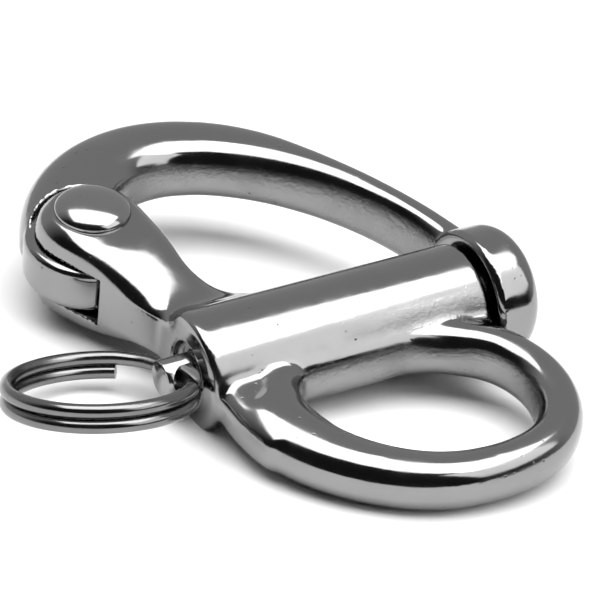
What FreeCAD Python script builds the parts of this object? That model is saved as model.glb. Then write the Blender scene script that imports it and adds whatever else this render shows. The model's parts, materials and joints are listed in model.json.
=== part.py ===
import FreeCAD, Part
import math
import os

import Sketcher

os.makedirs("parts", exist_ok=True)

# Fixed-eye snap shackle: one stainless casting holds the eye, the plunger barrel and the hinge fork,
# and a curved gate swings on a rivet in the fork and is locked by a sprung plunger.
# Frame: origin at the middle of the eye, +X along the plunger from ring to nose, +Y along the pull
# from the eye to the gate, +Z through the thickness. Everything is symmetric about Z = 0 except the
# split ring. Lengths in millimetres, angles in degrees.
SIZES = {
    # eye: the hole is a rounded triangle of two round ends and two bridging arcs
    "eye_big_x": 4.1, "eye_big_y": -1.0, "eye_big_radius": 7.4,
    "eye_small_x": -8.1, "eye_small_y": 5.1, "eye_small_radius": 3.1,
    "eye_lower_arc": 13.5, "eye_upper_arc": 19.0,
    "eye_rim": 4.9, "eye_thick": 6.2, "eye_round": 2.2, "eye_hole_round": 1.3,
    "web_x": -9.6, "web_y": 7.2, "web_radius": 9.2,
    "web_lower_arc": 20.0, "web_upper_arc": 26.0,
    # barrel that holds the plunger
    "axis_y": 14.1, "barrel_radius": 6.15, "face_x": -19.2, "nose_x": 13.1,
    "bore_radius": 3.4, "stem_bore_radius": 2.1, "shoulder_x": -8.0,
    "recess_radius": 3.2, "recess_depth": 1.0,
    # fork and its rivet
    "rivet_x": -19.8, "rivet_y": 35.3, "ear_radius": 6.1, "fork_thick": 11.4, "ear_round": 1.0,
    "slot_thick": 5.5, "slot_floor_y": 27.3, "arm_inner_x": -12.2,
    "arm_corner_y": 20.0, "slope_top_y": 29.5, "slope_foot_y": 21.2, "neck_thick": 6.4,
    "rivet_radius": 2.0, "rivet_hole_radius": 2.05, "rivet_head_radius": 4.05, "rivet_dome": 1.6,
    # gate
    "bow_x": -7.5, "bow_y": 33.5, "bow_radius": 19.5, "bow_outer_arc": 80.0,
    "bow_inner_x": -7.0, "bow_inner_y": 36.2, "bow_inner_radius": 8.2, "bow_inner_arc": 29.3,
    "gate_thick": 8.6, "gate_round": 1.0, "shoulder_radius": 6.5, "shoulder_angle": 150.0,
    "tongue_radius": 7.05, "tongue_thick": 5.1,
    "boss_gap": 0.8, "boss_long": 5.9, "boss_radius": 7.3, "boss_round": 2.6, "boss_chamfer": 0.6,
    "socket_radius": 2.6, "socket_depth": 3.6, "gate_foot_y": 20.0,
    # plunger, its spring and its split ring
    "plunger_end_x": -22.1, "stem_radius": 2.0, "stem_chamfer": 0.35,
    "collar_x": 6.0, "collar_long": 6.4, "collar_radius": 3.3, "tip_radius": 2.45,
    "tip_reach": 3.5, "cross_x": -20.1, "cross_radius": 1.45, "cross_tilt": 22.5,
    "spring_wire": 0.7, "spring_radius": 2.75, "spring_turns": 5.25, "spring_clear": 0.05,
    "ring_radius": 9.05, "ring_wire": 1.42, "ring_pitch": 1.46, "ring_gap": 96.0,
    "ring_yaw": 8.0, "ring_roll": 6.5,
}

doc = FreeCAD.newDocument("snap_shackle")
sheet = doc.addObject("Spreadsheet::Sheet", "sizes")
for row, (alias, value) in enumerate(SIZES.items(), start=1):
    sheet.set("A%d" % row, alias)
    sheet.set("B%d" % row, str(value))
    sheet.setAlias("B%d" % row, alias)
doc.recompute()


def size(alias):
    return float(sheet.get(alias))


def vector(x, y, z=0.0):
    return FreeCAD.Vector(x, y, z)


# ---- helpers for bodies and sketches ----

def new_body(name):
    body = doc.addObject("PartDesign::Body", name)
    body.Label = name
    return body


def origin_plane(body, role):
    return next(f for f in body.Origin.OriginFeatures if f.Role == role)


def new_sketch(body, name, role, offset="0"):
    """A sketch on one of the body's own origin planes, moved along its normal by an expression."""
    sketch = body.newObject("Sketcher::SketchObject", name)
    sketch.AttachmentSupport = [(origin_plane(body, role), "")]
    sketch.MapMode = "FlatFace"
    sketch.setExpression("AttachmentOffset.Base.z", offset)
    return sketch


def bind(sketch, kind, places, expression):
    """A dimension of the sketch, between the given geometry and points, that follows the sheet."""
    now = float(sketch.evalExpression(expression))
    index = sketch.addConstraint(Sketcher.Constraint(kind, *places, now))
    sketch.setExpression("Constraints[%d]" % index, expression)


def place_point(sketch, geometry, point, across, along):
    """Fixes a point of the sketch by its two distances from the sketch's origin."""
    bind(sketch, "DistanceX", (-1, 1, geometry, point), across)
    bind(sketch, "DistanceY", (-1, 1, geometry, point), along)


def add_circle(sketch, across, along, radius_name):
    centre = vector(float(sketch.evalExpression(across)), float(sketch.evalExpression(along)))
    radius = float(sketch.evalExpression(radius_name))
    circle = sketch.addGeometry(Part.Circle(centre, vector(0, 0, 1), radius))
    place_point(sketch, circle, 3, across, along)
    bind(sketch, "Radius", (circle,), radius_name)


def pad(body, name, sketch, length, symmetric=True):
    feature = body.newObject("PartDesign::Pad", name)
    feature.Profile = sketch
    feature.SideType = "Symmetric" if symmetric else "One side"
    feature.setExpression("Length", length)
    return feature


def pocket_through(body, name, sketch):
    """Cuts the profile through the whole body, both ways from the sketch."""
    feature = body.newObject("PartDesign::Pocket", name)
    feature.Profile = sketch
    feature.SideType = "Symmetric"
    feature.Type = "ThroughAll"
    return feature


def bore_from(body, name, radius_name, start, depth, towards_plus=False):
    """A round bore on the plunger's axis that starts at X = start and runs for depth."""
    sketch = new_sketch(body, name + "_sketch", "YZ_Plane", start)
    add_circle(sketch, "sizes.axis_y", "0", "sizes." + radius_name)
    feature = body.newObject("PartDesign::Pocket", name)
    feature.Profile = sketch
    feature.setExpression("Length", depth)
    feature.Reversed = towards_plus
    return feature


def round_edges(body, name, base, radius, wanted, kind="Fillet"):
    """Rounds or chamfers the edges of the last feature that the test picks out."""
    doc.recompute()
    edges = ["Edge%d" % n for n, edge in enumerate(base.Shape.Edges, start=1) if wanted(edge)]
    feature = body.newObject("PartDesign::" + kind, name)
    feature.Base = (base, edges)
    feature.setExpression("Radius" if kind == "Fillet" else "Size", radius)
    return feature


def flat_at(edge, height):
    """True where the whole edge lies at that height above or below the middle plane."""
    box = edge.BoundBox
    return box.ZLength < 0.001 and abs(abs(box.ZMin) - height) < 0.001


# ---- outlines made of tangent arcs ----

def circles_meet(centre_a, reach_a, centre_b, reach_b, left):
    """The point at the two reaches from the two centres, on the left or right of the line a to b."""
    along = centre_b - centre_a
    span = along.Length
    step = (reach_a ** 2 - reach_b ** 2 + span ** 2) / (2 * span)
    rise = math.sqrt(max(reach_a ** 2 - step ** 2, 0.0))
    along.normalize()
    across = vector(-along.y, along.x)
    return centre_a + along * step + across * (rise if left else -rise)


def bearing(centre, point):
    return math.atan2(point.y - centre.y, point.x - centre.x)


def arc(centre, radius, first, last):
    circle = Part.Circle(centre, vector(0, 0, 1), radius)
    return Part.ArcOfCircle(circle, first, last)


def rounded_triangle(sketch, big, small, lower_arc, upper_arc, names):
    """Two round ends bridged by two larger arcs, each tangent to both ends, counter-clockwise."""
    big_centre, big_radius = big
    small_centre, small_radius = small
    lower = circles_meet(big_centre, lower_arc - big_radius, small_centre, lower_arc - small_radius, False)
    upper = circles_meet(big_centre, upper_arc - big_radius, small_centre, upper_arc - small_radius, True)
    big_low, big_high = bearing(lower, big_centre), bearing(upper, big_centre)
    small_low, small_high = bearing(lower, small_centre), bearing(upper, small_centre)
    arcs = [
        sketch.addGeometry(arc(big_centre, big_radius, big_low, big_high)),
        sketch.addGeometry(arc(upper, upper_arc, big_high, small_high)),
        sketch.addGeometry(arc(small_centre, small_radius, small_high, small_low)),
        sketch.addGeometry(arc(lower, lower_arc, small_low, big_low)),
    ]
    for first, second in zip(arcs, arcs[1:] + arcs[:1]):
        sketch.addConstraint(Sketcher.Constraint("Tangent", first, 2, second, 1))
    place_point(sketch, arcs[0], 3, names["big_x"], names["big_y"])
    place_point(sketch, arcs[2], 3, names["small_x"], names["small_y"])
    for index, key in enumerate(("big_radius", "upper_arc", "small_radius", "lower_arc")):
        bind(sketch, "Radius", (arcs[index],), names[key])


# ---- the casting: eye, barrel and fork ----

def eye_outline(body):
    sketch = new_sketch(body, "eye_outline", "XY_Plane")
    rim = size("eye_rim")
    big = (vector(size("eye_big_x"), size("eye_big_y")), size("eye_big_radius") + rim)
    web = (vector(size("web_x"), size("web_y")), size("web_radius"))
    rounded_triangle(sketch, big, web, size("web_lower_arc"), size("web_upper_arc"), {
        "big_x": "sizes.eye_big_x", "big_y": "sizes.eye_big_y",
        "big_radius": "sizes.eye_big_radius + sizes.eye_rim",
        "small_x": "sizes.web_x", "small_y": "sizes.web_y", "small_radius": "sizes.web_radius",
        "upper_arc": "sizes.web_upper_arc", "lower_arc": "sizes.web_lower_arc",
    })
    return sketch


def eye_hole(body):
    sketch = new_sketch(body, "eye_hole_outline", "XY_Plane")
    big = (vector(size("eye_big_x"), size("eye_big_y")), size("eye_big_radius"))
    small = (vector(size("eye_small_x"), size("eye_small_y")), size("eye_small_radius"))
    rounded_triangle(sketch, big, small, size("eye_lower_arc"), size("eye_upper_arc"), {
        "big_x": "sizes.eye_big_x", "big_y": "sizes.eye_big_y", "big_radius": "sizes.eye_big_radius",
        "small_x": "sizes.eye_small_x", "small_y": "sizes.eye_small_y",
        "small_radius": "sizes.eye_small_radius",
        "upper_arc": "sizes.eye_upper_arc", "lower_arc": "sizes.eye_lower_arc",
    })
    return sketch


def arm_outline(body):
    """The fork arm: round ear end, straight inner side, and an outer side tangent to the ear."""
    sketch = new_sketch(body, "arm_outline", "XY_Plane")
    ear = vector(size("rivet_x"), size("rivet_y"))
    radius = size("ear_radius")
    corner = vector(size("face_x"), size("arm_corner_y"))
    foot = vector(size("face_x"), size("axis_y"))
    inner = vector(size("arm_inner_x"), size("axis_y"))
    reach = math.sqrt((corner - ear).Length ** 2 - radius ** 2)
    outer_touch = circles_meet(ear, radius, corner, reach, False)
    inner_reach = math.sqrt((inner - ear).Length ** 2 - radius ** 2)
    inner_touch = circles_meet(ear, radius, inner, inner_reach, True)
    ear_arc = sketch.addGeometry(arc(ear, radius, bearing(ear, inner_touch), bearing(ear, outer_touch)))
    points = [outer_touch, corner, foot, inner, inner_touch]
    sides = [sketch.addGeometry(Part.LineSegment(a, b)) for a, b in zip(points, points[1:])]
    sketch.addConstraint(Sketcher.Constraint("Tangent", ear_arc, 2, sides[0], 1))
    for first, second in zip(sides, sides[1:]):
        sketch.addConstraint(Sketcher.Constraint("Coincident", first, 2, second, 1))
    sketch.addConstraint(Sketcher.Constraint("Tangent", sides[3], 2, ear_arc, 1))
    place_point(sketch, ear_arc, 3, "sizes.rivet_x", "sizes.rivet_y")
    bind(sketch, "Radius", (ear_arc,), "sizes.ear_radius")
    place_point(sketch, sides[1], 1, "sizes.face_x", "sizes.arm_corner_y")
    place_point(sketch, sides[2], 1, "sizes.face_x", "sizes.axis_y")
    place_point(sketch, sides[2], 2, "sizes.arm_inner_x", "sizes.axis_y")
    return sketch


def slope_profile(body, side):
    """What is cut from one face of the arm so that it falls from the ear to the thinner neck."""
    name = "slope_above" if side > 0 else "slope_below"
    sketch = new_sketch(body, name, "YZ_Plane")
    ear_level = "%d * sizes.fork_thick / 2" % side
    neck_level = "%d * sizes.neck_thick / 2" % side
    clear_level = "%d * (sizes.fork_thick / 2 + 1)" % side
    top, low, clear = size("fork_thick") / 2, size("neck_thick") / 2, size("fork_thick") / 2 + 1
    corners = [
        (size("slope_top_y"), top, "sizes.slope_top_y", ear_level),
        (size("slope_foot_y"), low, "sizes.slope_foot_y", neck_level),
        (size("axis_y") - 1, low, "sizes.axis_y - 1", neck_level),
        (size("axis_y") - 1, clear, "sizes.axis_y - 1", clear_level),
        (size("slope_top_y"), clear, "sizes.slope_top_y", clear_level),
    ]
    polygon(sketch, [(y, side * z, across, along) for y, z, across, along in corners])
    return sketch


def polygon(sketch, corners):
    """A closed run of straight sides; each corner is (across, along, and their two expressions)."""
    ends = [vector(c[0], c[1]) for c in corners]
    sides = [sketch.addGeometry(Part.LineSegment(a, b)) for a, b in zip(ends, ends[1:] + ends[:1])]
    for first, second in zip(sides, sides[1:] + sides[:1]):
        sketch.addConstraint(Sketcher.Constraint("Coincident", first, 2, second, 1))
    for side, corner in zip(sides, corners):
        place_point(sketch, side, 1, corner[2], corner[3])


def make_body_casting():
    body = new_body("body_casting")
    eye_level = size("eye_thick") / 2
    ear_level = size("fork_thick") / 2

    plate = pad(body, "eye_plate", eye_outline(body), "sizes.eye_thick")
    rounded = round_edges(body, "eye_outer_round", plate, "sizes.eye_round",
                          lambda edge: flat_at(edge, eye_level))
    hole = pocket_through(body, "eye_hole", eye_hole(body))
    reach = size("eye_big_radius") + 0.001
    small = vector(size("eye_small_x"), size("eye_small_y"))
    middle = vector(size("eye_big_x"), size("eye_big_y"))

    def on_hole(edge):
        centre = edge.BoundBox.Center
        return flat_at(edge, eye_level) and min(
            (vector(centre.x, centre.y) - middle).Length - reach,
            (vector(centre.x, centre.y) - small).Length - size("eye_small_radius")) < 1.5

    round_edges(body, "eye_hole_round", hole, "sizes.eye_hole_round", on_hole)

    arm = pad(body, "arm", arm_outline(body), "sizes.fork_thick")
    round_edges(body, "ear_round", arm, "sizes.ear_round", lambda edge: flat_at(edge, ear_level))
    for side in (1, -1):
        pocket_through(body, "slope_cut_%s" % ("above" if side > 0 else "below"), slope_profile(body, side))

    barrel_sketch = new_sketch(body, "barrel_circle", "YZ_Plane", "sizes.face_x")
    add_circle(barrel_sketch, "sizes.axis_y", "0", "sizes.barrel_radius")
    pad(body, "barrel", barrel_sketch, "sizes.nose_x - sizes.face_x", symmetric=False)

    slot = new_sketch(body, "slot_outline", "YZ_Plane")
    beyond = "sizes.rivet_y + sizes.ear_radius + 1"
    far, near, half = size("rivet_y") + size("ear_radius") + 1, size("slot_floor_y"), size("slot_thick") / 2
    polygon(slot, [
        (near, -half, "sizes.slot_floor_y", "-sizes.slot_thick / 2"),
        (far, -half, beyond, "-sizes.slot_thick / 2"),
        (far, half, beyond, "sizes.slot_thick / 2"),
        (near, half, "sizes.slot_floor_y", "sizes.slot_thick / 2"),
    ])
    pocket_through(body, "fork_slot", slot)

    rivet_hole = new_sketch(body, "rivet_hole_circle", "XY_Plane")
    add_circle(rivet_hole, "sizes.rivet_x", "sizes.rivet_y", "sizes.rivet_radius")
    pocket_through(body, "rivet_hole", rivet_hole)

    bore_from(body, "spring_bore", "bore_radius", "sizes.nose_x", "sizes.nose_x - sizes.shoulder_x")
    bore_from(body, "stem_bore", "stem_bore_radius", "sizes.shoulder_x", "sizes.shoulder_x - sizes.face_x")
    bore_from(body, "ring_recess", "recess_radius", "sizes.face_x + sizes.recess_depth",
              "sizes.recess_depth")
    return body


# ---- the gate ----

def bow_outline(body):
    """The gate's bow: outer arc from the hinge, an easy curve down to the boss, and the inner wall."""
    sketch = new_sketch(body, "bow_outline", "XY_Plane")
    rivet = vector(size("rivet_x"), size("rivet_y"))
    outer = vector(size("bow_x"), size("bow_y"))
    inner = vector(size("bow_inner_x"), size("bow_inner_y"))
    shoulder = size("shoulder_radius")
    turn = math.radians(size("shoulder_angle"))
    start_x = size("nose_x") + size("boss_gap")
    foot_y = size("gate_foot_y")
    heel = rivet + vector(math.cos(turn), math.sin(turn)) * shoulder

    # where the radial line through the heel leaves the bow's outer arc
    ray = heel - rivet
    ray.normalize()
    back = rivet - outer
    half = back.dot(ray)
    heel_out = rivet + ray * (-half + math.sqrt(half ** 2 - back.dot(back) + size("bow_radius") ** 2))
    # the easy arc is tangent to the bow's outer arc and ends on the boss's outer edge
    toe_out = vector(start_x + size("boss_long") - 0.5, foot_y)
    easy_radius = size("bow_outer_arc")
    easy = circles_meet(outer, easy_radius - size("bow_radius"), toe_out, easy_radius, False)
    join_out = outer + (outer - easy).normalize() * size("bow_radius")
    # the inner wall's long arc is tangent to its round top and ends on the boss's inner edge
    toe_in = vector(start_x + 0.3, foot_y)
    long_radius = size("bow_inner_arc")
    long = circles_meet(inner, long_radius - size("bow_inner_radius"), toe_in, long_radius, False)
    join_in = inner + (inner - long).normalize() * size("bow_inner_radius")
    corner = circles_meet(rivet, shoulder, inner, size("bow_inner_radius"), True)

    up = vector(0, 0, 1)
    edges = [
        Part.ArcOfCircle(Part.Circle(outer, up, size("bow_radius")),
                         bearing(outer, join_out), bearing(outer, heel_out)),
        Part.LineSegment(heel_out, heel),
        Part.ArcOfCircle(Part.Circle(rivet, up, shoulder), bearing(rivet, corner), turn),
        Part.ArcOfCircle(Part.Circle(inner, up, size("bow_inner_radius")),
                         bearing(inner, join_in), bearing(inner, corner)),
        Part.ArcOfCircle(Part.Circle(long, up, long_radius), bearing(long, toe_in), bearing(long, join_in)),
        Part.LineSegment(toe_in, toe_out),
        Part.ArcOfCircle(Part.Circle(easy, up, easy_radius), bearing(easy, toe_out), bearing(easy, join_out)),
    ]
    ids = [sketch.addGeometry(edge) for edge in edges]
    tie = sketch.addConstraint
    tie(Sketcher.Constraint("Coincident", ids[0], 2, ids[1], 1))
    tie(Sketcher.Constraint("Coincident", ids[1], 2, ids[2], 2))
    tie(Sketcher.Constraint("Coincident", ids[2], 1, ids[3], 2))
    tie(Sketcher.Constraint("Tangent", ids[3], 1, ids[4], 2))
    tie(Sketcher.Constraint("Coincident", ids[4], 1, ids[5], 1))
    tie(Sketcher.Constraint("Coincident", ids[5], 2, ids[6], 1))
    tie(Sketcher.Constraint("Tangent", ids[6], 2, ids[0], 1))
    place_point(sketch, ids[0], 3, "sizes.bow_x", "sizes.bow_y")
    place_point(sketch, ids[2], 3, "sizes.rivet_x", "sizes.rivet_y")
    place_point(sketch, ids[3], 3, "sizes.bow_inner_x", "sizes.bow_inner_y")
    radii = {0: "bow_radius", 2: "shoulder_radius", 3: "bow_inner_radius", 4: "bow_inner_arc", 6: "bow_outer_arc"}
    for index, alias in radii.items():
        bind(sketch, "Radius", (ids[index],), "sizes." + alias)
    return sketch


def boss_profile(body):
    """Half section of the boss about the plunger's axis: chamfered inner rim, well-rounded outer end."""
    sketch = new_sketch(body, "boss_profile", "XY_Plane")
    sketch.setExpression("AttachmentOffset.Base.y", "sizes.axis_y")
    near = size("nose_x") + size("boss_gap")
    far = near + size("boss_long")
    outer, round_, chamfer = size("boss_radius"), size("boss_round"), size("boss_chamfer")
    points = [vector(far, outer - round_), vector(far, 0), vector(near, 0), vector(near, outer - chamfer),
              vector(near + chamfer, outer), vector(far - round_, outer)]
    corner = sketch.addGeometry(arc(vector(far - round_, outer - round_), round_, 0, math.pi / 2))
    sides = [sketch.addGeometry(Part.LineSegment(a, b)) for a, b in zip(points, points[1:])]
    sketch.addConstraint(Sketcher.Constraint("Tangent", corner, 1, sides[0], 1))
    for first, second in zip(sides, sides[1:]):
        sketch.addConstraint(Sketcher.Constraint("Coincident", first, 2, second, 1))
    sketch.addConstraint(Sketcher.Constraint("Tangent", sides[-1], 2, corner, 2))
    start = "sizes.nose_x + sizes.boss_gap"
    place_point(sketch, sides[1], 1, start + " + sizes.boss_long", "0")
    place_point(sketch, sides[2], 1, start, "0")
    place_point(sketch, sides[3], 1, start, "sizes.boss_radius - sizes.boss_chamfer")
    place_point(sketch, sides[4], 1, start + " + sizes.boss_chamfer", "sizes.boss_radius")
    bind(sketch, "Radius", (corner,), "sizes.boss_round")
    sketch.addConstraint(Sketcher.Constraint("Horizontal", sides[4]))
    sketch.addConstraint(Sketcher.Constraint("Vertical", sides[0]))
    return sketch


def make_gate():
    body = new_body("gate")
    level = size("gate_thick") / 2
    shoulder = size("shoulder_radius")
    rivet = vector(size("rivet_x"), size("rivet_y"))

    bow = pad(body, "bow", bow_outline(body), "sizes.gate_thick")

    def runs_along_bow(edge):
        middle = edge.valueAt((edge.FirstParameter + edge.LastParameter) / 2)
        away = (vector(middle.x, middle.y) - rivet).Length
        return flat_at(edge, level) and away > shoulder + 2 and middle.y > size("gate_foot_y") + 0.01

    round_edges(body, "bow_round", bow, "sizes.gate_round", runs_along_bow)

    tongue_sketch = new_sketch(body, "tongue_circle", "XY_Plane")
    add_circle(tongue_sketch, "sizes.rivet_x", "sizes.rivet_y", "sizes.tongue_radius")
    pad(body, "tongue", tongue_sketch, "sizes.tongue_thick")

    revolve(body, "boss", boss_profile(body), "H_Axis")
    bore_from(body, "pin_socket", "socket_radius", "sizes.nose_x + sizes.boss_gap", "sizes.socket_depth",
              towards_plus=True)
    hole = new_sketch(body, "pivot_circle", "XY_Plane")
    add_circle(hole, "sizes.rivet_x", "sizes.rivet_y", "sizes.rivet_hole_radius")
    pocket_through(body, "pivot_hole", hole)
    return body


# ---- turned pieces ----

def revolve(body, name, sketch, axis):
    feature = body.newObject("PartDesign::Revolution", name)
    feature.Profile = sketch
    feature.ReferenceAxis = (sketch, [axis])
    feature.Angle = 360.0
    return feature


def make_rivet():
    """Shank through both ears and the tongue, with a low domed head set on each ear."""
    body = new_body("hinge_rivet")
    body.setExpression("Placement.Base.x", "sizes.rivet_x")
    body.setExpression("Placement.Base.y", "sizes.rivet_y")
    sketch = new_sketch(body, "rivet_profile", "XZ_Plane")
    half, dome = size("fork_thick") / 2, size("rivet_dome")
    head, shank = size("rivet_head_radius"), size("rivet_radius")
    dome_radius = (head ** 2 + dome ** 2) / (2 * dome)
    spread = math.asin(head / dome_radius)
    top_centre = vector(0, half + dome - dome_radius)
    low_centre = vector(0, -half - dome + dome_radius)
    edges = [
        Part.LineSegment(vector(0, -half - dome), vector(0, half + dome)),
        arc(top_centre, dome_radius, math.pi / 2 - spread, math.pi / 2),
        Part.LineSegment(vector(head, half), vector(shank, half)),
        Part.LineSegment(vector(shank, half), vector(shank, -half)),
        Part.LineSegment(vector(shank, -half), vector(head, -half)),
        arc(low_centre, dome_radius, -math.pi / 2, -math.pi / 2 + spread),
    ]
    ids = [sketch.addGeometry(edge) for edge in edges]
    joins = [((0, 2), (1, 2)), ((1, 1), (2, 1)), ((2, 2), (3, 1)), ((3, 2), (4, 1)), ((4, 2), (5, 2)),
             ((5, 1), (0, 1))]
    for (first, end), (second, start) in joins:
        sketch.addConstraint(Sketcher.Constraint("Coincident", ids[first], end, ids[second], start))
    place_point(sketch, ids[0], 1, "0", "-sizes.fork_thick / 2 - sizes.rivet_dome")
    place_point(sketch, ids[0], 2, "0", "sizes.fork_thick / 2 + sizes.rivet_dome")
    place_point(sketch, ids[2], 1, "sizes.rivet_head_radius", "sizes.fork_thick / 2")
    place_point(sketch, ids[3], 1, "sizes.rivet_radius", "sizes.fork_thick / 2")
    place_point(sketch, ids[3], 2, "sizes.rivet_radius", "-sizes.fork_thick / 2")
    place_point(sketch, ids[4], 2, "sizes.rivet_head_radius", "-sizes.fork_thick / 2")
    for index in (1, 5):
        sketch.addConstraint(Sketcher.Constraint("PointOnObject", ids[index], 3, ids[0]))
    revolve(body, "rivet_turning", sketch, "V_Axis")
    return body


def make_plunger():
    """Stem out of the ring end, a collar that the spring pushes, and the tip that locks the boss."""
    body = new_body("plunger")
    body.setExpression("Placement.Base.y", "sizes.axis_y")
    sketch = new_sketch(body, "plunger_profile", "XY_Plane")
    tip = "sizes.nose_x + sizes.boss_gap + sizes.tip_reach"
    collar_end = "sizes.collar_x + sizes.collar_long"
    tip_x = size("nose_x") + size("boss_gap") + size("tip_reach")
    end, chamfer, collar = size("plunger_end_x"), size("stem_chamfer"), size("collar_x")
    corners = [
        (end, 0, "sizes.plunger_end_x", "0"),
        (tip_x, 0, tip, "0"),
        (tip_x, size("tip_radius") - chamfer, tip, "sizes.tip_radius - sizes.stem_chamfer"),
        (tip_x - chamfer, size("tip_radius"), tip + " - sizes.stem_chamfer", "sizes.tip_radius"),
        (collar + size("collar_long"), size("tip_radius"), collar_end, "sizes.tip_radius"),
        (collar + size("collar_long"), size("collar_radius"), collar_end, "sizes.collar_radius"),
        (collar, size("collar_radius"), "sizes.collar_x", "sizes.collar_radius"),
        (collar, size("stem_radius"), "sizes.collar_x", "sizes.stem_radius"),
        (end + chamfer, size("stem_radius"), "sizes.plunger_end_x + sizes.stem_chamfer", "sizes.stem_radius"),
        (end, size("stem_radius") - chamfer, "sizes.plunger_end_x", "sizes.stem_radius - sizes.stem_chamfer"),
    ]
    polygon(sketch, corners)
    revolve(body, "plunger_turning", sketch, "H_Axis")
    hole = new_sketch(body, "cross_hole_circle", "XZ_Plane")
    add_circle(hole, "sizes.cross_x", "0", "sizes.cross_radius")
    pocket_through(body, "cross_hole", hole)
    # the plunger is turned about its own axis until the cross hole lies along the ring's wire
    body.setExpression("Placement.Rotation.Angle", "-sizes.cross_tilt")
    body.Placement.Rotation.Axis = vector(1, 0, 0)
    return body


# ---- wire pieces ----

def coil(radius, wire, pitch, turns):
    """A solid round wire wound about the Z axis, rising from Z = 0, starting on the +X side."""
    helix = Part.makeHelix(pitch, pitch * turns, radius)
    first = helix.Edges[0]
    profile = Part.Wire([Part.makeCircle(wire / 2, vector(radius, 0), first.tangentAt(first.FirstParameter))])
    return Part.Wire(helix.Edges).makePipeShell([profile], True, True)


def wire_piece(name, shape, placement):
    feature = doc.addObject("Part::Feature", name)
    feature.Label = name
    feature.Shape = shape
    feature.Placement = placement
    return feature


def make_spring():
    """Compression spring between the bore's shoulder and the plunger's collar."""
    wire, clear = size("spring_wire"), size("spring_clear")
    start_x = size("shoulder_x") + wire / 2 + clear
    long = size("collar_x") - size("shoulder_x") - wire - 2 * clear
    turns = size("spring_turns")
    shape = coil(size("spring_radius"), wire, long / turns, turns)
    along_plunger = FreeCAD.Rotation(vector(0, 1, 0), 90)
    place = FreeCAD.Placement(vector(start_x, size("axis_y"), 0), along_plunger)
    return wire_piece("plunger_spring", shape, place)


def ring_axes():
    """The ring's own directions: from the cross hole to the ring's middle, and square to the ring."""
    tilt, yaw, roll = (math.radians(size(a)) for a in ("cross_tilt", "ring_yaw", "ring_roll"))
    hole = vector(0, math.cos(tilt), -math.sin(tilt))
    upright = vector(0, math.sin(tilt), math.cos(tilt))
    outward = vector(-math.cos(yaw), 0, 0) - hole * math.sin(yaw)
    along = upright.cross(outward)
    outward = outward * math.cos(roll) + upright * math.sin(roll)
    return outward, outward.cross(along)


def make_split_ring():
    """A coil of not quite two turns. Its two ends stop short of the plunger, so that only the single
    middle stretch of wire passes through the cross hole."""
    gap = size("ring_gap")
    turns = 2 - gap / 360
    pitch = size("ring_pitch")
    shape = coil(size("ring_radius"), size("ring_wire"), pitch, turns)
    centred = FreeCAD.Placement(vector(0, 0, -pitch * turns / 2), FreeCAD.Rotation(vector(0, 0, 1), gap / 2))
    outward, square = ring_axes()
    centre = vector(size("cross_x"), size("axis_y")) + outward * size("ring_radius")
    facing_hole = FreeCAD.Rotation(outward * -1, square.cross(outward * -1), square, "ZXY")
    return wire_piece("split_ring", shape, FreeCAD.Placement(centre, facing_hole) * centred)


# ---- build, check and write ----

subparts = [make_body_casting(), make_gate(), make_rivet(), make_plunger(), make_spring(), make_split_ring()]
doc.recompute()

for item in doc.Objects:
    if "Invalid" in item.State or "Error" in item.State:
        raise RuntimeError("%s failed: %s" % (item.Label, item.State))
for subpart in subparts:
    shape = subpart.Shape
    if shape.isNull() or not shape.isValid() or shape.Volume <= 0:
        raise RuntimeError("%s has no valid solid" % subpart.Label)
    shape.exportStep("parts/%s.step" % subpart.Label)
    print("%-16s %8.1f mm3  %s" % (subpart.Label, shape.Volume, shape.BoundBox))
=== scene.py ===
import json
import math

import bmesh
import bpy
from mathutils import Matrix, Vector
from mathutils.bvhtree import BVHTree


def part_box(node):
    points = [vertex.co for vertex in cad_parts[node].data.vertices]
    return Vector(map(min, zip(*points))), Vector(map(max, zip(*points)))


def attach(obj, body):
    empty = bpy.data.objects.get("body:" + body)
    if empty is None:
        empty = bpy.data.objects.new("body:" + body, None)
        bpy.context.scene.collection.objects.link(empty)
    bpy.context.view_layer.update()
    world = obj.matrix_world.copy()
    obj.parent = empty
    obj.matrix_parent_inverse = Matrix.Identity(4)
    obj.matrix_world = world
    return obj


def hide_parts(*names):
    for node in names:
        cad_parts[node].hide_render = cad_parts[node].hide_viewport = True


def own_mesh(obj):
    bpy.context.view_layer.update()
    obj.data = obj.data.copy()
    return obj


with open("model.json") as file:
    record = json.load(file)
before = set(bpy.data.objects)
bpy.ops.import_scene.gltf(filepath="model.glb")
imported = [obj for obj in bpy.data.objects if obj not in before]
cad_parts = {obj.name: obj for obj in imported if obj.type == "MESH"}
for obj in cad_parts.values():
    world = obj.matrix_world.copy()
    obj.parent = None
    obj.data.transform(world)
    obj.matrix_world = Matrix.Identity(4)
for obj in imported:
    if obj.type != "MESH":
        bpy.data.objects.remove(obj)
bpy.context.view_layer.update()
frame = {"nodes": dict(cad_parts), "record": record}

# ---- sizes of the shackle, in millimetres, in the frame of the CAD ----

MM = 0.001


def node_box(node):
    """The lowest and highest corner of a CAD node, in millimetres."""
    return tuple(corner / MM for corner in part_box(node))


joints = {joint["name"]: joint for joint in frame["record"]["behaviour"]["joints"]}
pivot = Vector(joints["gate_pivot"]["pos_m"]) / MM
cross = Vector(joints["ring_swing"]["pos_m"]) / MM
axis_y = cross.y

rivet_low, rivet_high = node_box("hinge_rivet")
gate_low, gate_high = node_box("gate")
plunger_low, plunger_high = node_box("plunger")

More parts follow.
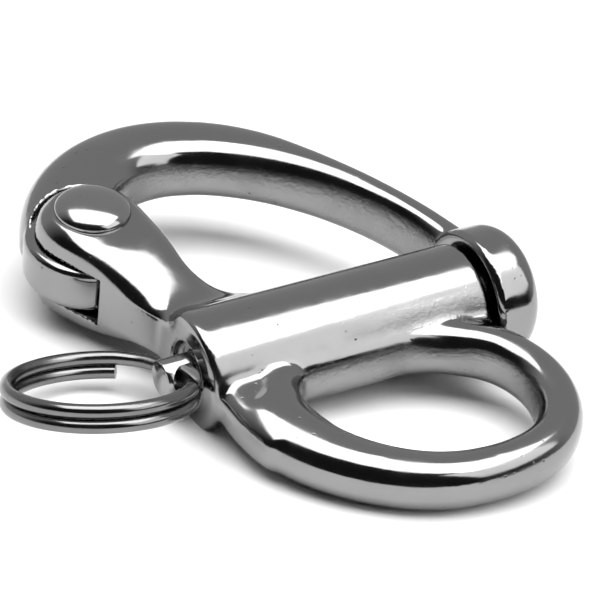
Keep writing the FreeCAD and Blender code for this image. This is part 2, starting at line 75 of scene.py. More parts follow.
barrel_radius = 6.15
face_x, nose_x = -19.2, 13.1
bore_radius, stem_bore_radius, shoulder_x = 3.4, 2.1, -8.0
recess_radius, recess_depth = 3.2, 1.0
eye_level, eye_rim, web_level, web_foot = 3.05, 4.9, 2.4, 182
eye_middle = Vector((1.5, 0.3, 0))
crotch_middle, crotch_radius, crotch_level = Vector((-7.4, 25.4, 0)), 4.9, 3.0
ear_level, slot_half, slot_floor, ear_waist = 5.7, 2.75, 27.3, -17.5
gate_level, tongue_level, tongue_radius, tongue_round = 4.3, 2.55, 7.05, 0.9
shoulder_radius, heel_bearing, corner_bearing = 6.5, 150.0, 37.0
bow_middle, bow_inner_radius = Vector((-7.0, 36.2, 0)), 8.2
leg_middle, leg_inner_radius = Vector((-14.5, 16.7, 0)), 29.3
boss_near, boss_far = nose_x + 0.8, gate_high.x
boss_radius, boss_round, boss_chamfer = 7.3, 2.6, 0.5
socket_radius, socket_depth = 2.6, 3.6
collar_near, collar_far, collar_radius = 6.0, 12.4, 3.3
stem_radius, tip_radius = 2.0, 2.45
rivet_hole_radius, cross_hole_radius = 2.05, 1.45
cross_tilt = 22.5
spring_radius, spring_wire, spring_turns = 2.75, 0.7, 5.25
ring_radius, ring_wire, ring_pitch, ring_gap = 9.05, 1.42, 1.46, 96
ring_yaw, ring_roll = 8.0, 6.5


# ---- ways of making a piece ----

def on_axis(x):
    """The place on the barrel's axis at a distance along X."""
    return Vector((x, axis_y, 0))


def at_pivot(z):
    """The place on the gate's hinge axis at a height."""
    return Vector((pivot.x, pivot.y, z))


def into_mesh(name, shape):
    """The bmesh as a mesh, with doubles merged and faces turned outwards."""
    bmesh.ops.remove_doubles(shape, verts=shape.verts, dist=1e-4)
    bmesh.ops.recalc_face_normals(shape, faces=shape.faces)
    mesh = bpy.data.meshes.new(name)
    shape.to_mesh(mesh)
    shape.free()
    return mesh


def facing_along(direction):
    """The turn that lays +Z along a direction."""
    return Vector(direction).to_track_quat("Z", "Y").to_matrix().to_4x4()


def rod(shape, start, end, radius, sides=96):
    """Adds a closed round bar from start to end."""
    start, end = Vector(start), Vector(end)
    along = end - start
    place = Matrix.Translation((start + end) / 2) @ facing_along(along)
    bmesh.ops.create_cone(shape, cap_ends=True, segments=sides, radius1=radius, radius2=radius,
                          depth=along.length, matrix=place)


def block(shape, low, high):
    """Adds a closed block between two corners."""
    low, high = Vector(low), Vector(high)
    place = Matrix.Translation((low + high) / 2) @ Matrix.Diagonal((high - low).to_4d())
    bmesh.ops.create_cube(shape, size=1.0, matrix=place)


def rounded_rim(shape, radius, segments=6):
    """Rounds the edges that lie level, which on an upright rod are its two rims."""
    edges = [edge for edge in shape.edges if abs(edge.verts[0].co.z - edge.verts[1].co.z) < 1e-4]
    bmesh.ops.bevel(shape, geom=edges, offset=radius, offset_type="OFFSET", affect="EDGES",
                    segments=segments, profile=0.5, material=-1, clamp_overlap=True)


def turned(name, outline, centre, axis, steps=128):
    """Spins an outline of points about an axis, as a lathe does."""
    shape = bmesh.new()
    points = [shape.verts.new(point) for point in outline]
    for first, second in zip(points, points[1:]):
        shape.edges.new((first, second))
    bmesh.ops.spin(shape, geom=shape.verts[:] + shape.edges[:], cent=centre, axis=axis,
                   angle=math.tau, steps=steps, use_merge=True, use_duplicate=False)
    return into_mesh(name, shape)


def loft(shape, stations, closed=False, sides=44):
    """Bridges a run of rounded sections. Each is its inner and outer point, half its thickness, and
    how square its inner and outer halves are: 2 is an ellipse, 4 has a flat wall."""
    sections = []
    for inner, outer, level, square_in, square_out in stations:
        made = bmesh.ops.create_circle(shape, segments=sides, radius=1.0)["verts"]
        for vertex in made:
            across, up = vertex.co.x, vertex.co.y
            power = 2 / (square_out if across > 0 else square_in)
            across = math.copysign(abs(across) ** power, across)
            up = math.copysign(abs(up) ** power, up)
            middle, half = (inner + outer) / 2, (outer - inner) / 2
            vertex.co = middle + half * across + Vector((0, 0, level * up))
        sections.append(list({edge for vertex in made for edge in vertex.link_edges}))
    pairs = list(zip(sections, sections[1:])) + ([(sections[-1], sections[0])] if closed else [])
    for first, second in pairs:
        bmesh.ops.bridge_loops(shape, edges=first + second)
    if not closed:
        for end in (sections[0], sections[-1]):
            bmesh.ops.contextual_create(shape, geom=end)


def wall_hit(tree, start, direction, skip=0.0):
    """Where a line from start first meets a wall, once it is past the length to skip."""
    return tree.ray_cast(start + direction * skip, direction)[0]


def bearing_of(degrees):
    """The level direction at a bearing, counted from +X towards +Y."""
    return Vector((math.cos(math.radians(degrees)), math.sin(math.radians(degrees)), 0))


def cad_copy(node):
    """The CAD node's mesh in millimetres, as a bmesh whose loose triangles are merged."""
    shape = bmesh.new()
    shape.from_mesh(frame["nodes"][node].data)
    bmesh.ops.scale(shape, vec=(1 / MM,) * 3, verts=shape.verts)
    bmesh.ops.remove_doubles(shape, verts=shape.verts, dist=1e-4)
    return shape


def trimmed(shape, place, away):
    """Takes off what lies past a plane, on the side that away points to, and closes the cut."""
    bmesh.ops.bisect_plane(shape, geom=shape.verts[:] + shape.edges[:] + shape.faces[:], dist=1e-5,
                           plane_co=place, plane_no=away, clear_outer=True)
    bmesh.ops.holes_fill(shape, edges=[edge for edge in shape.edges if edge.is_boundary], sides=0)


def worked(mesh, kind, settings, weight=None):
    """The mesh after a modifier. weight gives each vertex its share of the smoothing."""
    piece = bpy.data.objects.new("work", mesh)
    bpy.context.collection.objects.link(piece)
    if weight:
        group = piece.vertex_groups.new(name="share")
        for vertex in mesh.vertices:
            share = weight(vertex.co)
            if share > 0:
                group.add([vertex.index], share, "REPLACE")
    step = piece.modifiers.new(kind, kind)
    for key, value in settings.items():
        setattr(step, key, value)
    depsgraph = bpy.context.evaluated_depsgraph_get()
    result = bpy.data.meshes.new_from_object(piece.evaluated_get(depsgraph))
    bpy.data.objects.remove(piece)
    return result


def fused(mesh, voxel):
    """One closed skin round everything in the mesh."""
    return worked(mesh, "REMESH", {"mode": "VOXEL", "voxel_size": voxel, "use_smooth_shade": True})


def softened(mesh, rounds, weight=None):
    """The mesh with its surface evened out, fully or by weight's share of each vertex."""
    settings = {"factor": 0.5, "iterations": rounds}
    if weight:
        settings["vertex_group"] = "share"
    return worked(mesh, "SMOOTH", settings, weight)


def cut(mesh, cutter):
    """The mesh with the cutter's space taken away."""
    tool = bpy.data.objects.new("tool", into_mesh("tool", cutter))
    bpy.context.collection.objects.link(tool)
    result = worked(mesh, "BOOLEAN", {"operation": "DIFFERENCE", "object": tool, "solver": "MANIFOLD"})
    bpy.data.objects.remove(tool)
    return result


def drilled(mesh, *holes):
    """The mesh with round holes taken out, each given by its start, end and radius."""
    for start, end, radius in holes:
        drill = bmesh.new()
        rod(drill, start, end, radius)
        mesh = cut(mesh, drill)
    return mesh


def joined(*meshes):
    """Several meshes laid together as one."""
    shape = bmesh.new()
    for mesh in meshes:
        shape.from_mesh(mesh)
    mesh = bpy.data.meshes.new("joined")
    shape.to_mesh(mesh)
    shape.free()
    return mesh


def ramp(value, none, full):
    """0 at none, 1 at full, and a smooth way between them."""
    part = min(max((value - none) / (full - none), 0.0), 1.0)
    return part * part * (3 - 2 * part)


def finished(name, mesh, body, material, node, angle=50):
    """The piece in metres, shaded smooth but for its sharp edges, riding on its body. It takes the
    place of a CAD node and has the given material in its one slot."""
    mesh.name = name
    mesh.transform(Matrix.Scale(MM, 4))
    mesh.shade_smooth()
    mesh.set_sharp_from_angle(angle=math.radians(angle))
    mesh.materials.clear()
    mesh.materials.append(material)
    piece = bpy.data.objects.new(name, mesh)
    bpy.context.collection.objects.link(piece)
    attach(piece, body)
    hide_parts(node)
    return piece


# ---- finishes ----

def linear(colour):
    """An sRGB hex colour as the linear colour that a shader takes."""
    parts = [int(colour[i:i + 2], 16) / 255 for i in (1, 3, 5)]
    return [c / 12.92 if c <= 0.04045 else ((c + 0.055) / 1.055) ** 2.4 for c in parts] + [1.0]


def add(material, kind, settings=None, links=None):
    """Adds a node, sets its settings and inputs, and links its inputs to other nodes' outputs."""
    tree = material.node_tree
    node = tree.nodes.new(kind)
    for key, value in (settings or {}).items():
        if isinstance(key, str) and key in node.bl_rna.properties:
            setattr(node, key, value)
        else:
            node.inputs[key].default_value = value
    for key, (source, output) in (links or {}).items():
        tree.links.new(source.outputs[output], node.inputs[key])
    return node


def new_finish(name):
    """An empty material to add nodes to."""
    material = bpy.data.materials.new(name)
    material.use_nodes = True
    material.node_tree.nodes.clear()
    return material


def band(material, source, output, low, high, to_low=0.0, to_high=1.0):
    """A value that goes smoothly from to_low to to_high as its source goes from low to high."""
    return add(material, "ShaderNodeMapRange",
               {1: low, 2: high, 3: to_low, 4: to_high, "clamp": True,
                "interpolation_type": "SMOOTHSTEP"}, {0: (source, output)})


def steel_finish(name, light, dark, smooth, worn, pit_mm, ripple, grain_mm, grain, as_cast=False):
    """Stainless steel. light and dark are the ends of its colour, smooth and worn its roughness where
    best and least polished, pit_mm the spacing of its pits, and ripple and grain the depths in
    millimetres of its slow waves and of the marks that are grain_mm apart."""
    m = new_finish(name)
    place = add(m, "ShaderNodeTexCoord")
    at = {"Vector": (place, "Object")}
    drift = add(m, "ShaderNodeTexNoise", {"Scale": 1 / (5 * MM), "Detail": 3.0, "Roughness": 0.55}, at)
    fine = add(m, "ShaderNodeTexNoise", {"Scale": 1 / (grain_mm * MM), "Detail": 2.0}, at)
    wave = add(m, "ShaderNodeTexNoise", {"Scale": 1 / (2.6 * MM), "Detail": 1.0}, at)
    cells = add(m, "ShaderNodeTexVoronoi", {"Scale": 1 / (pit_mm * MM), "Randomness": 1.0}, at)
    pit = band(m, cells, "Distance", 0.06, 0.16, 1.0, 0.0)
    sparse = band(m, drift, 0, 0.52, 0.64)
    pits = add(m, "ShaderNodeMath", {"operation": "MULTIPLY"}, {0: (pit, 0), 1: (sparse, 0)})
    # sockets 6 and 7 of a colour mix are its two colours, and its output 2 is the result
    tone = add(m, "ShaderNodeMix", {"data_type": "RGBA", 6: linear(light), 7: linear(dark)}, {0: (drift, 0)})
    # the pinholes are tinted dark grey: painted shade inside them, on top of their shallow dent
    tone = add(m, "ShaderNodeMix", {"data_type": "RGBA", 7: linear("#484848")}, {0: (pits, 0), 6: (tone, 2)})
    rough = band(m, drift, 0, 0.35, 0.7, smooth, worn)
    ripples = add(m, "ShaderNodeBump", {"Strength": 1.0, "Distance": ripple * MM}, {"Height": (wave, 0)})
    grains = add(m, "ShaderNodeBump", {"Strength": 1.0, "Distance": grain * MM},
                 {"Height": (fine, 0), "Normal": (ripples, 0)})
    last = add(m, "ShaderNodeBump", {"Strength": 1.0, "Distance": 0.03 * MM, "invert": True},
               {"Height": (pits, 0), "Normal": (grains, 0)})
    if as_cast:
        # left as it came from the mould: a grainy skin that the polishing wheel didn't reach
        skin = add(m, "ShaderNodeAttribute", {"attribute_name": "as_cast"})
        sand = add(m, "ShaderNodeTexNoise",
                   {"Scale": 1 / (0.55 * MM), "Detail": 4.0, "Roughness": 0.7}, at)
        height = add(m, "ShaderNodeMath", {"operation": "MULTIPLY"}, {0: (sand, 0), 1: (skin, "Fac")})
        last = add(m, "ShaderNodeBump", {"Strength": 1.0, "Distance": 0.10 * MM},
                   {"Height": (height, 0), "Normal": (last, 0)})
        rough = add(m, "ShaderNodeMath", {"operation": "MULTIPLY_ADD", 1: 0.14},
                    {0: (skin, "Fac"), 2: (rough, 0)})
    shader = add(m, "ShaderNodeBsdfPrincipled", {"Metallic": 1.0},
                 {"Base Color": (tone, 2), "Roughness": (rough, 0), "Normal": (last, 0)})
    add(m, "ShaderNodeOutputMaterial", None, {"Surface": (shader, 0)})
    return m


# 316 stainless, investment cast and then buffed on a wheel: a near mirror whose reflections waver,
# with a few pinholes, and a grainy skin where the wheel didn't reach
cast_steel = steel_finish("polished_cast_316_stainless", "#8F8F8F", "#838383", 0.10, 0.19, 1.1,
                          0.020, 0.16, 0.0015, as_cast=True)
# 316 stainless bar, turned and buffed: a truer mirror than the castings, with hardly a pit
turned_steel = steel_finish("turned_and_buffed_316_stainless", "#979797", "#8B8B8B", 0.10, 0.17, 1.4,
                            0.010, 0.12, 0.001)
# drawn stainless wire, coiled and left as it was: darker and duller, with fine marks of the die
ring_steel = steel_finish("drawn_stainless_ring_wire", "#7E7E7E", "#686868", 0.16, 0.28, 0.7,
                          0.004, 0.10, 0.003)
# drawn stainless spring wire: satin, with fine marks of the die
spring_steel = steel_finish("drawn_stainless_spring_wire", "#A0A0A0", "#8C8C8C", 0.2, 0.3, 0.6,
                            0.003, 0.10, 0.002)


# ---- body casting: eye, web, barrel and fork arm in one pour ----

def from_hole(co):
    """How far a place is outside the eye's hole, whose two round ends are joined by its long sides."""
    big, big_radius = Vector((4.1, -1.0)), 7.4
    small, small_radius = Vector((-8.1, 5.1)), 3.1
    line = small - big
    along = min(max((co.xy - big).dot(line) / line.length_squared, 0.0), 1.0)
    return (co.xy - big - line * along).length - (big_radius + (small_radius - big_radius) * along)


def make_casting():
    """The eye, web, barrel and fork arm as one skin, polished first and then machined."""
    blank = cad_copy("body_casting")
    walls = BVHTree.FromBMesh(blank)
    eye = bmesh.new()
    stations = []
    for number in range(72):
        out = bearing_of(number * 5)
        inner = wall_hit(walls, eye_middle, out)
        outer = wall_hit(walls, inner, out, 0.5)
        # under the barrel and the web the rim keeps its own width, elsewhere it ends at the outline
        under_barrel = ramp(outer.y, 4.0, 8.5)
        wide = min((outer - inner).length, eye_rim + 4 * (1 - under_barrel))
        # the rim is slimmer at the front, and rolled over more where it faces the barrel
        front = ramp(-outer.y, -4.0, 11.0) * ramp(out.x, 1.1, -0.2)
        top = ramp(inner.y, 3.0, 7.0)
        inner = inner - out * (0.7 * top + 0.6 * front)
        stations.append((inner, inner + out * (wide - 0.6 * front + 0.7 * top), eye_level - 0.2 * front,
                         2.7 - 0.6 * top, 2.1))
    loft(eye, stations, closed=True)
    # the eye is lofted and the barrel turned afresh, so only the fork arm is kept of the blank
    trimmed(blank, (0, axis_y - 2, 0), (0, -1, 0))
    # the web is a thinner plate from the eye's left shoulder to the barrel
    web_plate = cad_copy("body_casting")
    leg = bearing_of(web_foot)
    trimmed(web_plate, (0, axis_y, 0), (0, 1, 0))
    trimmed(web_plate, (-4, 0, 0), (1, 0, 0))
    trimmed(web_plate, eye_middle, (-leg.y, leg.x, 0))
    bmesh.ops.scale(web_plate, vec=(1, 1, web_level / eye_level), verts=web_plate.verts)
    # the slot, bores and holes are closed, because they are machined after the casting is polished
    ears = [v.co.copy() for v in blank.verts
            if v.co.y > slot_floor - 0.05 and abs(v.co.z) < slot_half + 0.05]
    plug = bmesh.new()
    for place in ears:
        low = place.y < slot_floor + 0.05
        plug.verts.new((place.x + (ear_waist - place.x) * (0.2 if low else 0.003),
                        place.y - (1.5 if low else 0.02), place.z * 1.25))
    bmesh.ops.convex_hull(plug, input=plug.verts)
    # the web of metal that fills the corner between the arm and the barrel
    hub = Vector((crotch_middle.x, crotch_middle.y, -crotch_level))
    gusset = [plug.verts.new((hub.x, 17.0, hub.z)), plug.verts.new((-14.0, 17.0, hub.z)),
              plug.verts.new((-14.0, hub.y, hub.z))]
    curve = plug.verts.new((hub.x - crotch_radius, hub.y, hub.z))
    bmesh.ops.spin(plug, geom=[curve], cent=hub, axis=(0, 0, 1), angle=math.pi / 2, steps=12,
                   use_duplicate=False)
    gusset += [v for v in plug.verts
               if not v.link_faces and abs((v.co - hub).length - crotch_radius) < 1e-3]
    face = plug.faces.new(gusset)
    raised = bmesh.ops.extrude_face_region(plug, geom=[face])["geom"]
    bmesh.ops.translate(plug, vec=(0, 0, 2 * crotch_level),
                        verts=[v for v in raised if isinstance(v, bmesh.types.BMVert)])
    loose = [v for v in plug.verts if not v.link_faces]
    bmesh.ops.delete(plug, geom=loose, context="VERTS")
    rod(plug, on_axis(face_x + 0.02), on_axis(nose_x - 1), bore_radius + 0.4)
    rod(plug, on_axis(face_x), on_axis(nose_x + 2), barrel_radius, 160)
    block(plug, (6.0, 7.0, -2.4), (nose_x, 11.0, 2.4))
    rod(plug, at_pivot(-ear_level + 0.02), at_pivot(ear_level - 0.02), 2.4)
    mesh = fused(joined(into_mesh("blank", blank), into_mesh("plug", plug), into_mesh("eye", eye),
                        into_mesh("web", web_plate)), 0.26)

    def crotch(co):
        # deep fillets where the arm runs into the barrel
        near = math.hypot(co.x + 10.5, co.y - 21.0)
        return ramp(near, 7.5, 3.5) * ramp(co.y, 14.5, 17.5)

    def slope(co):
        # the arm's faces sweep down to the barrel in one curve
        return ramp(abs(co.y - 21.5), 6.5, 2.0) * ramp(abs(co.z), 1.5, 2.6) * ramp(co.x, -8.0, -11.0)

    def web(co):
        # the eye's crown and the web flow into the barrel
        foot = (co - eye_middle - leg * 14.5).length
        return ramp(from_hole(co), 0.9, 2.4) * max(ramp(abs(co.y - 7.6), 3.4, 1.4), ramp(foot, 7.0, 3.5))

    def arm_rims(co):
        # the wheel has rolled the arm's and the ears' rims well over
        reach = (co.xy - pivot.xy).length
        return ramp(co.y, 17.0, 20.0) * ramp(abs(co.z), 2.2, 3.2) * ramp(reach, 4.4, 5.4)

    mesh = softened(mesh, 26)
    mesh = softened(mesh, 70, arm_rims)
    mesh = softened(mesh, 90, web)
    mesh = softened(mesh, 120, crotch)
    mesh = softened(mesh, 90, slope)

    tool = bmesh.new()
    block(tool, (-30, slot_floor, -slot_half), (-8, 50, slot_half))
    mesh = cut(mesh, tool)
    # the nose is faced square, then the bores and the rivet hole are drilled
    mesh = drilled(mesh, (on_axis(nose_x), on_axis(nose_x + 6), barrel_radius + 0.6),
                   (on_axis(shoulder_x), on_axis(nose_x + 3), bore_radius),
                   (on_axis(face_x - 3), on_axis(shoulder_x + 1), stem_bore_radius),
                   (on_axis(face_x - 3), on_axis(face_x + recess_depth), recess_radius),
                   (at_pivot(-9), at_pivot(9), rivet_hole_radius))
    return softened(fused(mesh, 0.235), 3)


def mark_as_cast(mesh, test):
    """Writes where the casting skin was left, for the finish to read."""
    layer = mesh.attributes.new("as_cast", "FLOAT", "POINT")
    for vertex in mesh.vertices:
        layer.data[vertex.index].value = test(vertex.co, vertex.normal)


casting = make_casting()


def casting_skin(co, normal):
    """The eye's inner wall, and a band low on the barrel towards the nose that the wheel only grazed."""
    in_eye = (ramp(abs(normal.z), 0.55, 0.2) * ramp(co.y, 10.0, 8.6)
              * ramp((co - eye_middle).length, 13.5, 12.0))
    on_barrel = abs(math.hypot(co.y - axis_y, co.z) - barrel_radius) < 0.3
    turn = math.degrees(math.atan2(axis_y - co.y, abs(co.z)))
    grazed = ramp(co.x, -6.0, 6.0) * ramp(abs(turn - 52), 16.0, 5.0) if on_barrel else 0.0
    return max(in_eye, 0.8 * grazed)


mark_as_cast(casting, casting_skin)
finished("body_casting_polished", casting, "casting", cast_steel, "body_casting")


# ---- gate: hooked bow, tongue in the fork, boss that meets the barrel's nose ----

def make_gate():
    """The bow, its tongue and its boss as one skin, with the shoulder, pin hole and socket cut."""
    walls = BVHTree.FromBMesh(cad_copy("gate"))
    bow = bmesh.new()
    stations = []
    # round the top of the opening, then down the long leg to the boss
    for number in range(48):
        bearing = 186 - number * 4 if number < 30 else 69 - (number - 29) * 3.6
        middle, radius = (bow_middle, bow_inner_radius) if number < 30 else (leg_middle, leg_inner_radius)
        out = bearing_of(bearing)
        outer = wall_hit(walls, middle + out * 60 + Vector((0, 0, 0.1)), -out)
        share = ramp(bearing, 150, 10)
        stations.append((middle + out * radius, Vector((outer.x, outer.y, 0)),
                         gate_level - 0.7 * share, 2.5, 2.4))
    loft(bow, stations)
    rod(bow, at_pivot(-gate_level), at_pivot(gate_level), shoulder_radius - 0.15)
    mesh = softened(fused(into_mesh("bow", bow), 0.26), 30)

    sweep = 360 - (heel_bearing - corner_bearing)
    mesh = drilled(mesh, (at_pivot(-9), at_pivot(9), shoulder_radius))
    tool = bmesh.new()
    heel = bearing_of(heel_bearing)
    corners = [tool.verts.new(pivot + heel * reach + Vector((0, 0, level)))
               for reach, level in ((1.0, -9), (9.5, -9), (9.5, 9), (1.0, 9))]
    tool.faces.new(corners)
    bmesh.ops.spin(tool, geom=tool.verts[:] + tool.edges[:] + tool.faces[:], cent=pivot, axis=(0, 0, 1),
                   angle=math.radians(sweep), steps=72, use_duplicate=False)
    mesh = cut(mesh, tool)

    tongue = bmesh.new()
    rod(tongue, at_pivot(-tongue_level), at_pivot(tongue_level), tongue_radius, 128)
    rounded_rim(tongue, tongue_round)
    boss = turned("boss", [(boss_near, axis_y, 0), (boss_near, axis_y + boss_radius - boss_chamfer, 0),
                           (boss_near + boss_chamfer, axis_y + boss_radius, 0)]
                  + boss_end() + [(boss_far, axis_y, 0)], (boss_near, axis_y, 0), (1, 0, 0), 160)
    mesh = fused(joined(mesh, into_mesh("tongue", tongue), boss), 0.2)

    def join(co):
        # the bow flows into the boss
        return (ramp(co.y, axis_y + 4.0, axis_y + 6.5) * ramp(co.y, axis_y + 12.5, axis_y + 8.0)
                * ramp(co.x, boss_near + 0.6, boss_near + 1.8))

    mesh = softened(mesh, 60, join)
    mesh = drilled(mesh, (at_pivot(-9), at_pivot(9), rivet_hole_radius),
                   (on_axis(boss_near - 3), on_axis(boss_near + socket_depth), socket_radius))
    return softened(fused(mesh, 0.2), 3)


def boss_end():
    """The quarter round from the boss's side to its outer face."""
    arc = bmesh.new()
    first = arc.verts.new((boss_far - boss_round, axis_y + boss_radius, 0))
    bmesh.ops.spin(arc, geom=[first], cent=(boss_far - boss_round, axis_y + boss_radius - boss_round, 0),
                   axis=(0, 0, -1), angle=math.pi / 2, steps=12, use_duplicate=False)
    points = [vertex.co.to_tuple() for vertex in arc.verts]
    arc.free()
    return points


gate = make_gate()
mark_as_cast(gate, lambda co, normal: ramp(abs(normal.z), 0.55, 0.2)
             * ramp(normal.xy.dot(Vector((-2.0, 30.0)) - co.xy), 0.0, 2.0) * ramp(co.y, 20.0, 23.0))
finished("gate_polished", gate, "gate", cast_steel, "gate")


# ---- hinge rivet, plunger, spring ----

def make_rivet():
    """Two domed heads, each steep at its rim and flatter on top, on a plain shank."""
    head_radius = (rivet_high.x - rivet_low.x) / 2
    rise = rivet_high.z - ear_level
    shape = bmesh.new()
    rim = shape.verts.new(pivot + Vector((head_radius, 0, 0)))
    bmesh.ops.spin(shape, geom=[rim], cent=pivot, axis=(0, -1, 0), angle=math.pi / 2, steps=20,
                   use_duplicate=False)
    bmesh.ops.scale(shape, vec=(1, 1, rise / head_radius), verts=shape.verts)
    crown = [vertex.co.to_tuple() for vertex in shape.verts]
    shape.free()
    half = [(pivot.x + 2.0, pivot.y, 0), (pivot.x + 2.0, pivot.y, ear_level)]
    half += [(x, y, z + ear_level) for x, y, z in crown]
    under = [(x, y, -z) for x, y, z in reversed(half)]
    return turned("rivet", under[:-1] + half, pivot, (0, 0, 1))


finished("hinge_rivet_domed", make_rivet(), "casting", turned_steel, "hinge_rivet",
         angle=35)


def make_plunger():
    """A turned pin: plain stem, collar for the spring, locking tip, and the ring's cross hole."""
    end, tip = plunger_low.x, plunger_high.x
    chamfer = 0.35
    outline = [(end, 0), (end, stem_radius - chamfer), (end + chamfer * 0.3, stem_radius - chamfer * 0.3),
               (end + chamfer, stem_radius), (collar_near, stem_radius), (collar_near, collar_radius - 0.2),
               (collar_near + 0.2, collar_radius), (collar_far - 0.2, collar_radius),
               (collar_far, collar_radius - 0.2), (collar_far, tip_radius), (tip - chamfer, tip_radius),
               (tip, tip_radius - chamfer), (tip, 0)]
    mesh = turned("plunger", [(x, axis_y + out, 0) for x, out in outline], (end, axis_y, 0), (1, 0, 0), 96)
    along_hole = Vector((0, math.cos(math.radians(cross_tilt)), -math.sin(math.radians(cross_tilt))))
    tool = bmesh.new()
    rod(tool, cross - along_hole * 5, cross + along_hole * 5, cross_hole_radius, 48)
    return cut(mesh, tool)


finished("plunger_turned", make_plunger(), "plunger", turned_steel, "plunger", angle=35)


def wire_section(shape, middle, along, radius, sides):
    """Adds the round end face of a wire, and returns all that a spin needs of it."""
    place = Matrix.Translation(middle) @ facing_along(along)
    made = bmesh.ops.create_circle(shape, cap_ends=True, segments=sides, radius=radius, matrix=place)
    faces = list({face for vertex in made["verts"] for face in vertex.link_faces})
    edges = list({edge for vertex in made["verts"] for edge in vertex.link_edges})
    return made["verts"] + edges + faces


def coil_of(name, section, middle, axis, runs):
    """A wire wound about an axis. Each run is its angle, its rise along the axis and its steps."""
    shape = bmesh.new()
    end = wire_section(shape, *section)
    for angle, rise, steps in runs:
        climb = Vector(axis).normalized() * (rise / steps)
        end = bmesh.ops.spin(shape, geom=end, cent=middle, axis=axis, angle=math.radians(angle),
                             dvec=climb, steps=steps, use_duplicate=False)["geom_last"]
    return into_mesh(name, shape)


def make_spring():
    """A compression spring with a closed turn at each end."""
    start = Vector((shoulder_x + spring_wire / 2 + 0.05, axis_y, 0))
    long = collar_near - shoulder_x - spring_wire - 0.1
    closed = spring_wire * 1.03
    section = (start + Vector((0, 0, spring_radius)), (0, 1, 0), spring_wire / 2, 12)
    return coil_of("spring", section, start, (1, 0, 0),
                   [(360, closed, 32), (360 * (spring_turns - 2), long - 2 * closed, 104),
                    (360, closed, 32)])


spring = finished("plunger_spring_wound", make_spring(), "casting", spring_steel,
                  "plunger_spring")
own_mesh(spring)


# ---- split ring ----

def make_ring():
    """Two turns of wire side by side, led through the plunger's cross hole."""
    tilt, yaw, roll = (math.radians(a) for a in (cross_tilt, ring_yaw, ring_roll))
    hole = Vector((0, math.cos(tilt), -math.sin(tilt)))
    upright = Vector((0, math.sin(tilt), math.cos(tilt)))
    outward = Vector((-math.cos(yaw), 0, 0)) - hole * math.sin(yaw)
    along = upright.cross(outward)
    outward = outward * math.cos(roll) + upright * math.sin(roll)
    square = outward.cross(along)
    centre = cross + outward * ring_radius
    # two flat turns, and between them the stretch that steps from one to the other through the hole
    flat = 360 - ring_gap
    turn = Matrix.Rotation(math.radians(ring_gap / 2), 3, square)
    out_start = turn @ -outward
    start = centre + out_start * ring_radius - square * (ring_pitch / 2)
    tangent = square.cross(out_start)
    section = (start, tangent, ring_wire / 2, 28)
    bend = (ring_gap * 0.22, ring_pitch * 0.11, 8)
    crossing = (ring_gap * 0.56, ring_pitch * 0.78, 20)
    return coil_of("ring", section, centre, square,
                   [(flat, 0.0, 110), bend, crossing, bend, (flat, 0.0, 110)])


finished("split_ring_wound", make_ring(), "ring", ring_steel, "split_ring", angle=40)


# ---- floor, light and camera ----

def rests_on():
    """Three points that the shackle stands on: the rivet's lower head, the boss and the eye."""
    return (Vector((pivot.x, pivot.y, rivet_low.z)), Vector(((boss_near + boss_far) / 2, axis_y, gate_low.z)),
            Vector((2.0, -11.0, -eye_level)))


feet = rests_on()
floor_up = (feet[1] - feet[0]).cross(feet[2] - feet[0]).normalized()
if floor_up.z < 0:
    floor_up.negate()

floor_shape = bmesh.new()
bmesh.ops.create_grid(floor_shape, x_segments=8, y_segments=8, size=4000,
                      matrix=Matrix.Translation(feet[0]) @ facing_along(floor_up))
floor_mesh = bpy.data.meshes.new("floor")
floor_shape.to_mesh(floor_mesh)
floor_shape.free()
floor_mesh.transform(Matrix.Scale(MM, 4))
floor = bpy.data.objects.new("floor", floor_mesh)
bpy.context.collection.objects.link(floor)
paper = new_finish("white_card")
card = add(paper, "ShaderNodeBsdfPrincipled", {"Base Color": linear("#F4F4F4"), "Roughness": 0.9,
                                               "Specular IOR Level": 0.1})
add(paper, "ShaderNodeOutputMaterial", None, {"Surface": (card, 0)})
floor_mesh.materials.append(paper)


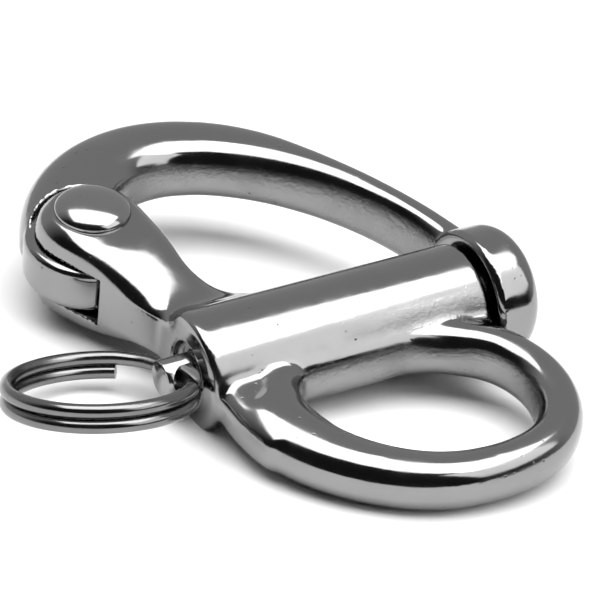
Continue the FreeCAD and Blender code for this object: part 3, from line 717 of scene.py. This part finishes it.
def aimed(thing, place, target, roll=0.0):
    """Puts a camera or light at place, looking at target."""
    turn = (Vector(target) - Vector(place)).to_track_quat("-Z", "Y").to_matrix().to_4x4()
    thing.matrix_world = (Matrix.Translation(Vector(place) * MM) @ turn
                          @ Matrix.Rotation(math.radians(roll), 4, "Z"))


def seen_from(azimuth, elevation):
    """The direction of a place seen from the object. Azimuth 0 is towards -Y."""
    a, e = math.radians(azimuth), math.radians(elevation)
    return Vector((math.sin(a) * math.cos(e), -math.cos(a) * math.cos(e), math.sin(e)))


view_azimuth, view_elevation, view_roll, view_distance = -34.56, 37.66, 8.22, 221.19
look_at = Vector((-3.74, 18.58, 1.49))

camera = bpy.data.objects.new("camera", bpy.data.cameras.new("camera"))
bpy.context.collection.objects.link(camera)
camera.data.lens = 128.08
camera.data.clip_start = 0.01
aimed(camera, look_at + seen_from(view_azimuth, view_elevation) * view_distance, look_at, view_roll)
bpy.context.scene.camera = camera


def softbox(name, azimuth, elevation, distance, across, deep, power):
    """A soft rectangular light turned to the shackle, its sizes in millimetres and its power in watts."""
    light = bpy.data.lights.new(name, "AREA")
    light.shape = "RECTANGLE"
    light.size, light.size_y = across * MM, deep * MM
    light.energy = power
    lamp = bpy.data.objects.new(name, light)
    bpy.context.collection.objects.link(lamp)
    aimed(lamp, look_at + seen_from(azimuth, elevation) * distance, look_at)


softbox("overhead_softbox", view_azimuth + 180, 85, 600, 900, 520, 6.8)
softbox("side_softbox", 40, 40, 620, 460, 420, 1.4)

# the room: a grey wall behind the object, black cloth in front of it
world = bpy.data.worlds.new("room")
bpy.context.scene.world = world
world.use_nodes = True
world.node_tree.nodes.clear()
facing = add(world, "ShaderNodeTexCoord")
front = add(world, "ShaderNodeVectorMath", {"operation": "DOT_PRODUCT",
                                            1: seen_from(view_azimuth, 0)}, {0: (facing, "Generated")})
wall = add(world, "ShaderNodeMapRange", {1: -0.35, 2: 0.25, 3: 0.56, 4: 0.02}, {0: (front, "Value")})
air = add(world, "ShaderNodeBackground", {"Color": (1, 1, 1, 1)}, {"Strength": (wall, 0)})
add(world, "ShaderNodeOutputWorld", None, {"Surface": (air, 0)})

bpy.context.scene.view_settings.view_transform = "Standard"
